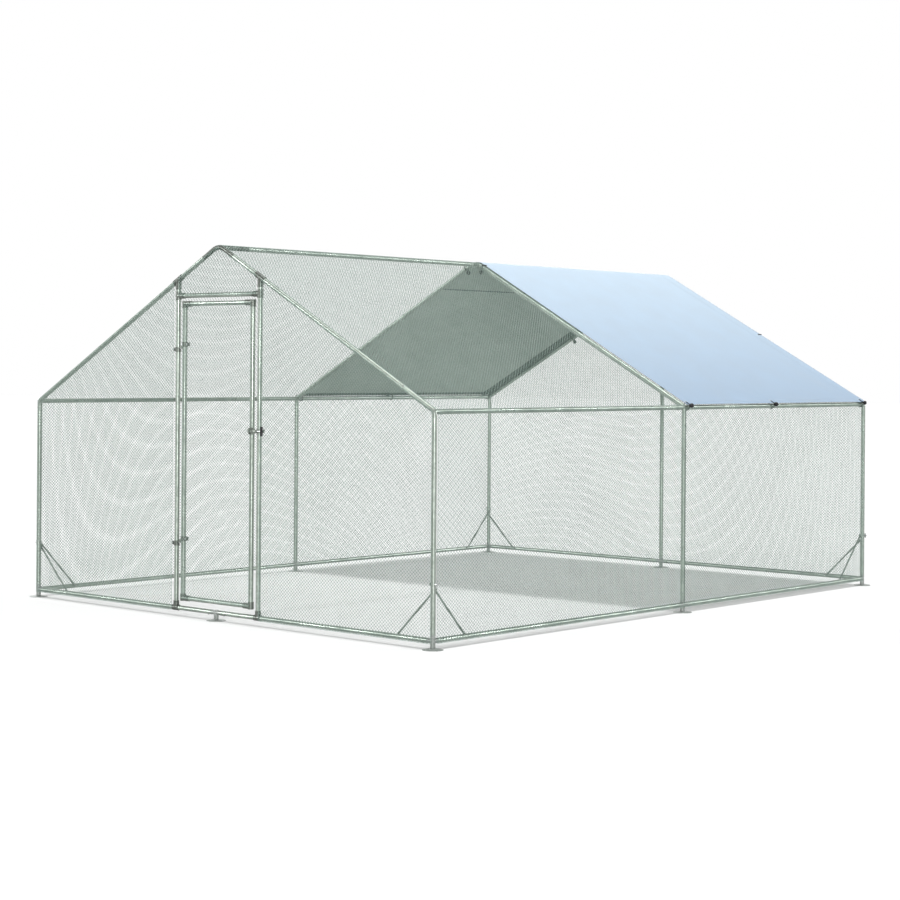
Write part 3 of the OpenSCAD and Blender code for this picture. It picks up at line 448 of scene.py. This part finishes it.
# Cover
# One sheet of coated woven cloth over both slopes of the rear bay, silvery blue above and grey
# green below. The top is painted paler at the ridge and darker towards the eaves, as shading. Its
# edges are turned under and sewn, with a broad hem at the rear, and a taped seam joins its two
# widths below the ridge on the left slope. Under the cloth the hems are painted dark as shade,
# nearly black at the eaves and the rear.
cover_thickness = 0.0012
cover_lift = 0.0150
cover_low, cover_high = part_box("roof_cover")
cover_girth = (bend_r + cover_lift) * pitch + slope_length
eave_hem = 0.040
front_hem = 0.040
rear_hem = 0.100
hem_rise = 0.0007
hem_slope = 0.002
seam_girth = -0.34
seam_w = 0.014
fold_rise = 0.0022
fold_reach = 0.22
folds_per_turn = 4.5
fan_start = 0.02
flat_at_tie = 0.05
wave_along = 9.0
wave_skew = 3.1
wave_across = 4.3
wave_start = 1.0
wave_share = 0.5
calm_edge = 0.2
scallop_depth = 0.004
scallop_span = 0.4


def cloth(name, tones, weave, roughness, sheen, bands):
    """Woven cloth, mapped in metres: flat tapes over and under, a soft mottle, a colour painted from ridge
    to eaves as shading, and darker bands.
    """
    material = bpy.data.materials.new(name)
    material.use_nodes = True
    tree = material.node_tree
    shader = tree.nodes["Principled BSDF"]
    shader.inputs["Sheen Weight"].default_value = sheen
    shader.inputs["Sheen Roughness"].default_value = 0.4
    shader.inputs["Specular IOR Level"].default_value = 0.25
    spread = add(tree, "ShaderNodeUVMap", uv_map="cloth")
    split = add(tree, "ShaderNodeSeparateXYZ", {0: spread.outputs[0]})
    down = calc(tree, "ABSOLUTE", split.outputs[0])
    # The colour runs from the ridge to the eaves: painted shading, paler at the ridge and darker lower
    # down.
    ridge_to_eave_shading = add(tree, "ShaderNodeMapRange", {0: down, 1: 0.0, 2: cover_girth, 3: 0.0, 4: 1.0})
    shade = add(tree, "ShaderNodeValToRGB", {0: ridge_to_eave_shading.outputs[0]})
    for element, tone in zip(shade.color_ramp.elements, tones):
        element.color = (*tone, 1)
    mottle = add(tree, "ShaderNodeTexNoise", {"Vector": spread.outputs[0], "Scale": 5.0, "Detail": 6.0})
    vary = add(tree, "ShaderNodeMapRange", {0: mottle.outputs[0], 1: 0.25, 2: 0.75, 3: 0.95, 4: 1.05})
    tapes = [calc(tree, "MULTIPLY", split.outputs[k], 2 * math.pi / weave) for k in (0, 1)]
    crossing = calc(tree, "MULTIPLY", *[calc(tree, "SINE", tape) for tape in tapes])
    light = calc(tree, "MULTIPLY_ADD", crossing, 0.06, vary.outputs[0])
    for socket, start, end, factor in bands:
        inside = calc(tree, "GREATER_THAN", split.outputs[socket], start)
        before = calc(tree, "LESS_THAN", split.outputs[socket], end)
        both = calc(tree, "MULTIPLY", inside, before)
        light = calc(tree, "MULTIPLY", light, calc(tree, "MULTIPLY_ADD", both, factor - 1, 1.0))
    colour = add(tree, "ShaderNodeVectorMath", {0: shade.outputs[0], "Scale": light}, operation="SCALE")
    tree.links.new(colour.outputs[0], shader.inputs["Base Color"])
    gloss = add(tree, "ShaderNodeMapRange", {0: mottle.outputs[0], 1: 0.3, 2: 0.7,
                                             3: roughness - 0.05, 4: roughness + 0.07})
    tree.links.new(gloss.outputs[0], shader.inputs["Roughness"])
    bump = add(tree, "ShaderNodeBump", {"Height": crossing, "Strength": 0.25, "Distance": 0.0004})
    tree.links.new(bump.outputs[0], shader.inputs["Normal"])
    return material


eave_hem_start, rear_hem_start = cover_girth - eave_hem, cover_high[1] - rear_hem
front_hem_end = cover_low[1] + front_hem
seam_low, seam_high = seam_girth - seam_w / 2, seam_girth + seam_w / 2
beyond = 3.0
# The underside's hems are painted dark as shade: nearly black at the eaves and the rear, a little darker at
# the front. The seam is a dark line, and the width above it is a little darker.
under_hem_shade_and_seam_bands = [(0, -beyond, -eave_hem_start, 0.08), (0, eave_hem_start, beyond, 0.08),
               (1, rear_hem_start, beyond, 0.04), (1, -beyond, front_hem_end, 0.85),
               (0, seam_low, seam_high, 0.1), (0, seam_high, 0.0, 0.9)]
# The top is painted pale blue at the ridge and darker towards the eaves, as shading.
cover_top = cloth("cover_silver", [(0.52, 0.65, 0.77), (0.32, 0.43, 0.56)], 0.006, 0.42, 0.03,
                  [(0, seam_low, seam_high, 0.96)])
cover_under = cloth("cover_underside", [(0.55, 0.59, 0.555), (0.55, 0.595, 0.555)], 0.006, 0.7, 0.0,
                    under_hem_shade_and_seam_bands)

tie_inset = 0.032
bay_tie_share = 0.46
rear_frame_y = middle_of("rear_posts", 1)
eave_tie_ys = [middle_y + tie_inset, middle_y + bay_tie_share * (rear_frame_y - middle_y),
               rear_frame_y - tie_inset]


def cover_folds(girth, y):
    """How far the cloth stands off the net: folds that fan out from the eaves' ties, and broad waves."""
    rise = np.zeros_like(girth)
    for tie_y in eave_tie_ys:
        off = y - tie_y
        below = cover_girth - np.abs(girth)
        reach = np.hypot(off, below)
        angle = np.arctan2(off, below + fan_start)
        fan = np.cos(folds_per_turn * angle) ** 2
        rise += np.exp(-reach / fold_reach) * fan * np.clip(reach / flat_at_tie, 0, 1)
    waves = np.sin(wave_along * y + wave_skew * girth) * np.sin(wave_across * girth + wave_start)
    broad = (1 + waves) / 2
    inner = np.clip((y - cover_low[1]) / calm_edge, 0, 1) * np.clip((cover_high[1] - y) / calm_edge, 0, 1)
    return fold_rise * (rise + wave_share * broad * inner)


def on_cover(girth, y, above=0.0):
    """Places on the cover, so far above the middle of its cloth. The cloth is thicker at hems and seam."""
    steps = [(np.abs(girth) - eave_hem_start), (front_hem_end - y), (y - rear_hem_start),
             seam_w / 2 - np.abs(girth - seam_girth)]
    hem = np.max([np.clip(step / hem_slope, 0, 1) for step in np.broadcast_arrays(*steps)], axis=0)
    lift = cover_lift + cover_thickness / 2 + cover_folds(girth, y) + hem_rise * hem + above
    across, up = over_ridge(girth, lift)
    return np.stack(np.broadcast_arrays(across, y, up), 1)


def grid_lines(low, high, count, *stops):
    """Evenly spaced lines with three close ones at each stop, where a hem or the seam begins or ends."""
    close = [stop + off for stop in stops for off in (-hem_slope, 0, hem_slope)]
    return np.unique(np.round(np.concatenate([np.linspace(low, high, count), close]), 5))


girths = grid_lines(-cover_girth, cover_girth, 181, -eave_hem_start, eave_hem_start, seam_low, seam_high)
ys = grid_lines(cover_low[1], cover_high[1], 101, front_hem_end, rear_hem_start)
girth_grid, y_grid = [g.ravel() for g in np.meshgrid(girths, ys)]
between = np.min([np.abs(y_grid - tie_y) for tie_y in eave_tie_ys], axis=0)
at_eave = np.abs(girth_grid) > cover_girth - hem_slope / 2
scallop = scallop_depth * np.clip(between / scallop_span, 0, 1) ** 2 * at_eave
across_steps, along_steps = len(girths) - 1, len(ys) - 1
corner = (np.arange(along_steps)[:, None] * (across_steps + 1) + np.arange(across_steps)).ravel()
faces = np.stack([corner, corner + 1, corner + across_steps + 2, corner + across_steps + 1], 1)
cover_mesh = bpy.data.meshes.new("cover")
cover_mesh.from_pydata(on_cover(np.sign(girth_grid) * (np.abs(girth_grid) - scallop), y_grid).tolist(), [],
                       faces.tolist())
spread = cover_mesh.uv_layers.new(name="cloth")
loop_points = np.empty(len(cover_mesh.loops), np.int32)
cover_mesh.loops.foreach_get("vertex_index", loop_points)
spread.data.foreach_set("uv", np.stack([girth_grid, y_grid], 1)[loop_points].ravel().astype(np.float32))
cover_mesh.shade_smooth()
cover_mesh.materials.append(cover_top)
cover_mesh.materials.append(cover_under)
cover = bpy.data.objects.new("cover", cover_mesh)
bpy.context.collection.objects.link(cover)
shell = cover.modifiers.new("thickness", "SOLIDIFY")
shell.thickness = cover_thickness
shell.offset = 0
shell.material_offset = 1
shell.material_offset_rim = 1
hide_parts("roof_cover")
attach(cover, "frame")


# Stitches
# Rows of polyester thread that hold the hems and both edges of the seam's tape. They are sewn by
# machine, and show on both faces of the cloth.
stitch_step = 0.009
stitch_l = 0.006
thread_d = 0.0011
row_end = 0.01
hem_row_in = 0.005
seam_row_in = 0.003
look_ahead = 0.001


def mottled(name, dark, light, roughness, grain_scale, ribs=None):
    """A soft mottle between two close colours with a fine grain, or with ribs along a cord's length."""
    material = bpy.data.materials.new(name)
    material.use_nodes = True
    tree = material.node_tree
    shader = tree.nodes["Principled BSDF"]
    shader.inputs["Specular IOR Level"].default_value = 0.2
    where = add(tree, "ShaderNodeTexCoord").outputs["Object"]
    cloud = add(tree, "ShaderNodeTexNoise", {"Vector": where, "Scale": 60.0, "Detail": 4.0})
    shade = add(tree, "ShaderNodeValToRGB", {0: cloud.outputs[0]})
    shade.color_ramp.elements[0].color = (*dark, 1)
    shade.color_ramp.elements[1].color = (*light, 1)
    tree.links.new(shade.outputs[0], shader.inputs["Base Color"])
    gloss = add(tree, "ShaderNodeMapRange", {0: cloud.outputs[0], 3: roughness - 0.06, 4: roughness + 0.08})
    tree.links.new(gloss.outputs[0], shader.inputs["Roughness"])
    if ribs:
        along = add(tree, "ShaderNodeAttribute", attribute_name="along")
        height = calc(tree, "SINE", calc(tree, "MULTIPLY", along.outputs["Fac"], 2 * math.pi / ribs))
    else:
        height = add(tree, "ShaderNodeTexNoise", {"Vector": where, "Scale": grain_scale}).outputs[0]
    bump = add(tree, "ShaderNodeBump", {"Height": height, "Strength": 0.3, "Distance": 0.0003})
    tree.links.new(bump.outputs[0], shader.inputs["Normal"])
    return material


def stitch_row(first, last):
    """Places and directions of the stitches along a row between two places on the cover, on both faces."""
    run = np.subtract(last, first)
    length = np.hypot(*run)
    girth, y = np.linspace(first, last, round(length / stitch_step)).T
    ahead = look_ahead * run / length
    row = []
    for above in (cover_thickness / 2, -cover_thickness / 2):
        here = on_cover(girth, y, above)
        row.append(np.concatenate([here, on_cover(girth + ahead[0], y + ahead[1], above) - here], 1))
    return np.concatenate(row)


start_y, end_y = cover_low[1] + row_end, cover_high[1] - row_end
side_edge = cover_girth - row_end
sewn_girths = [-eave_hem_start - hem_row_in, eave_hem_start + hem_row_in,
               seam_low + seam_row_in, seam_high - seam_row_in]
sewn_ys = [front_hem_end - hem_row_in, rear_hem_start + hem_row_in]
rows = [stitch_row((girth, start_y), (girth, end_y)) for girth in sewn_girths]
rows += [stitch_row((-side_edge, y), (side_edge, y)) for y in sewn_ys]
rows = np.concatenate(rows)
stitch_sizes = {"Stitch": stitch_l, "Thread": thread_d}
stitch_tree, stitch_in = tree_for("stitches", stitch_sizes)
laid = add(stitch_tree, "GeometryNodeInstanceOnPoints",
           {0: stitch_in.outputs[0], "Rotation": turned_to(stitch_tree, X="lie"),
            "Instance": spindle(stitch_tree, stitch_in.outputs["Stitch"], stitch_in.outputs["Thread"])})
close_tree(stitch_tree, laid.outputs[0],
           mottled("thread", (0.34, 0.39, 0.42), (0.50, 0.56, 0.60), 0.7, 3000.0))
stitches = grown("cover_stitches", points_mesh("cover_stitches", rows[:, :3], lie=rows[:, 3:]), stitch_tree,
                 stitch_sizes)
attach(stitches, "frame")


# Ties
# Black plastic balls on loops of elastic cord. Each loop goes through a plated eyelet in the cover's
# edge and round a tube, and its ball stops it outside or below: three along each eave, two on the
# rear rafters and two at the middle apex.
ball_d = 0.025
groove_w = 0.03
groove_depth = 0.03
dimple_from = 0.94
dimple_depth = 2.6
cord_d = 0.005
eyelet_d = 0.0125
eyelet_wire = 0.0030
eyelet_off = 0.0228
loop_r = 0.029
eave_loop_rise = 0.0065
eave_ball_rise = math.radians(10)
middle_tie_off = 0.023
eave_loop = [(0.0148, 0.0185), (0.0128, 0.0182), (0.0112, 0.0215), (0.0075, 0.0238), (0.0, 0.0236),
             (-0.0140, 0.0236), (-0.0200, 0.0226), (-0.0230, 0.0185), (-0.0232, 0.0120), (-0.0200, 0.0030),
             (-0.0140, -0.0075), (-0.0040, -0.0149), (0.0060, -0.0142), (0.0130, -0.0076), (0.0152, 0.0020),
             (0.0142, 0.0100), (0.0126, 0.0158), (0.0146, 0.0179)]
rafter_loop = [(0.0006, -0.0190), (0.0020, -0.0166), (0.0085, -0.0132), (0.0142, -0.0060), (0.0190, 0.0030),
               (0.0222, 0.0105), (0.0232, 0.0158), (0.0212, 0.0188), (0.0150, 0.0197), (0.0060, 0.0197),
               (-0.0060, 0.0196), (-0.0120, 0.0166), (-0.0154, 0.0090), (-0.0158, 0.0), (-0.0130, -0.0084),
               (-0.0070, -0.0140), (-0.0020, -0.0168), (-0.0006, -0.0190)]

cords, balls, eyelets = [], [], []
ridge = np.array([0, 0, apex_h])
for sign, side in ((1, "right"), (-1, "left")):
    normal = np.array([sign * math.sin(pitch), 0, math.cos(pitch)])
    outward = np.array([sign * math.cos(pitch), 0, -math.sin(pitch)])
    level = np.array([sign * math.cos(eave_ball_rise), 0, math.sin(eave_ball_rise)])
    rail = np.array([middle_of(side + "_eave_rails", 0), 0, middle_of(side + "_eave_rails", 2)])
    ties = []
    for y in eave_tie_ys:
        centre = rail + (0, y, 0)
        ties.append((centre, outward, eave_loop, -eyelet_off, centre + eave_loop_rise * normal, level))
    halfway = post_x / math.cos(pitch) / 2
    by_apex = bend_r * math.tan(pitch) + middle_tie_off
    for y, down, inward in ((middle_y, by_apex, 1), (rear_frame_y, halfway, -1)):
        centre = ridge + down * outward + (0, y, 0)
        ties.append((centre, np.array([0, inward, 0]), rafter_loop, eyelet_off, centre, -normal))
    for centre, across, loop, off, ball_from, ball_way in ties:
        cords.append([centre + a * across + b * normal for a, b in loop])
        balls.append(np.concatenate([ball_from + loop_r * ball_way, -ball_way]))
        hole = centre + off * across
        girth = (bend_r + cover_lift) * pitch + (hole - ridge) @ outward - bend_r * math.tan(pitch)
        eyelets.append(np.concatenate([on_cover(np.array([sign * girth]), hole[1:2])[0], normal]))

cord_tree, cord_in = tree_for("tie_loops", {"Cord": cord_d})
strands = add(cord_tree, "GeometryNodeMeshToCurve", {0: cord_in.outputs[0]})
smooth = add(cord_tree, "GeometryNodeCurveSplineType", {0: strands.outputs[0]}, spline_type="CATMULL_ROM")
fine = add(cord_tree, "GeometryNodeSetSplineResolution", {0: smooth.outputs[0], "Resolution": 5})
length = add(cord_tree, "GeometryNodeSplineParameter")
marked = add(cord_tree, "GeometryNodeStoreNamedAttribute",
             {0: fine.outputs[0], "Name": "along", "Value": length.outputs["Length"]}, data_type="FLOAT")
section = add(cord_tree, "GeometryNodeCurvePrimitiveCircle", {"Resolution": 8, "Radius": 0.5})
swept = add(cord_tree, "GeometryNodeCurveToMesh", {0: marked.outputs[0], 1: section.outputs[0],
                                                   "Scale": cord_in.outputs["Cord"], "Fill Caps": True})
close_tree(cord_tree, swept.outputs[0],
           mottled("elastic_cord", (0.012, 0.012, 0.013), (0.034, 0.034, 0.036), 0.6, 1500.0, ribs=0.0024))
loop_size = len(eave_loop)
links = [(start + k, start + k + 1) for start in range(0, loop_size * len(cords), loop_size)
         for k in range(loop_size - 1)]
loops = grown("tie_loops", points_mesh("tie_loops", np.concatenate(cords), links), cord_tree,
              {"Cord": cord_d})
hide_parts("tie_cords")
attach(loops, "frame")

ball_tree, ball_in = tree_for("tie_ball", {"Ball": ball_d})
radius = calc(ball_tree, "MULTIPLY", ball_in.outputs["Ball"], 0.5)
sphere = add(ball_tree, "GeometryNodeMeshUVSphere", {"Segments": 24, "Rings": 24, "Radius": radius})
place = add(ball_tree, "GeometryNodeInputPosition").outputs[0]
up = add(ball_tree, "ShaderNodeSeparateXYZ", {0: place}).outputs[2]
height = calc(ball_tree, "DIVIDE", up, radius)
parting = calc(ball_tree, "COMPARE", height, 0.0, groove_w)
swell = calc(ball_tree, "MULTIPLY_ADD", parting, -groove_depth, 1.0)
mouth = calc(ball_tree, "MAXIMUM", calc(ball_tree, "SUBTRACT", height, dimple_from), 0.0)
sink = calc(ball_tree, "MULTIPLY", calc(ball_tree, "MULTIPLY", mouth, radius), -dimple_depth)
sunk = add(ball_tree, "ShaderNodeCombineXYZ", {2: sink}).outputs[0]
formed = add(ball_tree, "ShaderNodeVectorMath", {0: place, "Scale": swell}, operation="SCALE").outputs[0]
formed = add(ball_tree, "ShaderNodeVectorMath", {0: formed, 1: sunk}, operation="ADD").outputs[0]
moulded = add(ball_tree, "GeometryNodeSetPosition", {0: sphere.outputs[0], "Position": formed})
placed = add(ball_tree, "GeometryNodeInstanceOnPoints",
             {0: ball_in.outputs[0], "Instance": moulded.outputs[0],
              "Rotation": turned_to(ball_tree, Z="lie")})
ball_plastic = mottled("black_plastic", (0.008, 0.008, 0.009), (0.022, 0.022, 0.024), 0.24, 1500.0)
close_tree(ball_tree, placed.outputs[0], ball_plastic)
balls = np.array(balls)
stops = grown("tie_stops", points_mesh("tie_stops", balls[:, :3], lie=balls[:, 3:]), ball_tree,
              {"Ball": ball_d})
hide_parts("tie_balls")
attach(stops, "frame")

eyelet_sizes = {"Eyelet": eyelet_d, "Rim": eyelet_wire}
eyelet_tree, eyelet_in = tree_for("eyelets", eyelet_sizes)
mean_r = calc(eyelet_tree, "MULTIPLY", eyelet_in.outputs["Eyelet"], 0.5)
around = add(eyelet_tree, "GeometryNodeCurvePrimitiveCircle", {"Resolution": 24, "Radius": mean_r})
section = add(eyelet_tree, "GeometryNodeCurvePrimitiveCircle", {"Resolution": 8, "Radius": 0.5})
rolled = add(eyelet_tree, "GeometryNodeCurveToMesh", {0: around.outputs[0], 1: section.outputs[0],
                                                      "Scale": eyelet_in.outputs["Rim"]})
pressed = add(eyelet_tree, "GeometryNodeInstanceOnPoints",
              {0: eyelet_in.outputs[0], "Instance": rolled.outputs[0],
               "Rotation": turned_to(eyelet_tree, Z="lie")})
close_tree(eyelet_tree, pressed.outputs[0],
           zinc_coat("eyelet_zinc", (0.50, 0.52, 0.51), (0.70, 0.72, 0.71), 0.3, 0.002, 0.5))
eyelets = np.array(eyelets)
rings = grown("cover_eyelets", points_mesh("cover_eyelets", eyelets[:, :3], lie=eyelets[:, 3:]),
              eyelet_tree, eyelet_sizes)
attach(rings, "frame")


# Latch grip
# A moulded grip on the latch's sliding bolt, pushed on over its end. It is of the same black plastic
# as the ties' balls.
dress(ball_plastic, "latch_grip")


# Setting
# A pale floor that takes the run's shadow, a white surround, a lamp overhead and low ones on four
# sides, the weakest behind the run. The camera is low in front of the right corner.
floor_mesh = bpy.data.meshes.new("floor")
reach = 60.0
floor_mesh.from_pydata([(-reach, -reach, 0), (reach, -reach, 0), (reach, reach, 0), (-reach, reach, 0)], [],
                       [(0, 1, 2, 3)])
floor = bpy.data.objects.new("floor", floor_mesh)
bpy.context.collection.objects.link(floor)
pale = bpy.data.materials.new("pale_floor")
pale.use_nodes = True
paint = pale.node_tree.nodes["Principled BSDF"]
paint.inputs["Base Color"].default_value = (0.7, 0.7, 0.7, 1)
paint.inputs["Roughness"].default_value = 1.0
paint.inputs["Specular IOR Level"].default_value = 0.0
paint.inputs["Emission Color"].default_value = (1, 1, 1, 1)
floor_mesh.materials.append(pale)

world = bpy.data.worlds.new("white_surround")
bpy.context.scene.world = world
world.use_nodes = True
sky = world.node_tree


def whiter_where_seen(tree, plain, seen, socket):
    """One strength for lighting and another for what the camera, a reflection or a glass shows."""
    rays = add(tree, "ShaderNodeLightPath")
    shown = rays.outputs["Is Camera Ray"]
    for ray in ("Is Glossy Ray", "Is Transmission Ray"):
        shown = calc(tree, "MAXIMUM", shown, rays.outputs[ray])
    strength = add(tree, "ShaderNodeMapRange", {0: shown, 3: plain, 4: seen})
    tree.links.new(strength.outputs[0], socket)


sky.nodes["Background"].inputs["Color"].default_value = (1, 1, 1, 1)
whiter_where_seen(sky, 0.15, 1.0, sky.nodes["Background"].inputs["Strength"])
whiter_where_seen(pale.node_tree, 0.0, 0.25, paint.inputs["Emission Strength"])


def lamp(name, energy, width, azimuth, elevation):
    """A far lamp that is so many degrees wide, in a direction from the run."""
    light = bpy.data.lights.new(name, "SUN")
    light.energy = energy
    light.angle = math.radians(width)
    turn, rise = math.radians(azimuth), math.radians(elevation)
    toward = Vector((math.cos(rise) * math.cos(turn), math.cos(rise) * math.sin(turn), math.sin(rise)))
    hung = bpy.data.objects.new(name, light)
    hung.rotation_euler = toward.to_track_quat("Z", "Y").to_euler()
    bpy.context.collection.objects.link(hung)


lamp("overhead", 2.2, 5, 0, 88)
lamp("front", 1.5, 12, -44, 5)
lamp("right", 1.4, 15, 53, 15)
lamp("left", 1.4, 15, -135, 15)
lamp("rear", 0.5, 40, 140, 15)

photo_side = 900
focal_px = 1975.0
optical_row = 367.9
camera_data = bpy.data.cameras.new("camera")
camera_data.sensor_width = 36
camera_data.lens = camera_data.sensor_width * focal_px / photo_side
camera_data.shift_y = (optical_row - photo_side / 2) / photo_side
camera = bpy.data.objects.new("camera", camera_data)
eye = (7.6317, -8.7204, 1.3058)
azimuth, roll = math.radians(41.717), math.radians(0.436)
camera.matrix_world = (Matrix.Translation(eye) @ Matrix.Rotation(azimuth, 4, "Z")
                       @ Matrix.Rotation(math.pi / 2, 4, "X") @ Matrix.Rotation(roll, 4, "Z"))
bpy.context.collection.objects.link(camera)
bpy.context.scene.camera = camera
bpy.context.scene.view_settings.view_transform = "Standard"
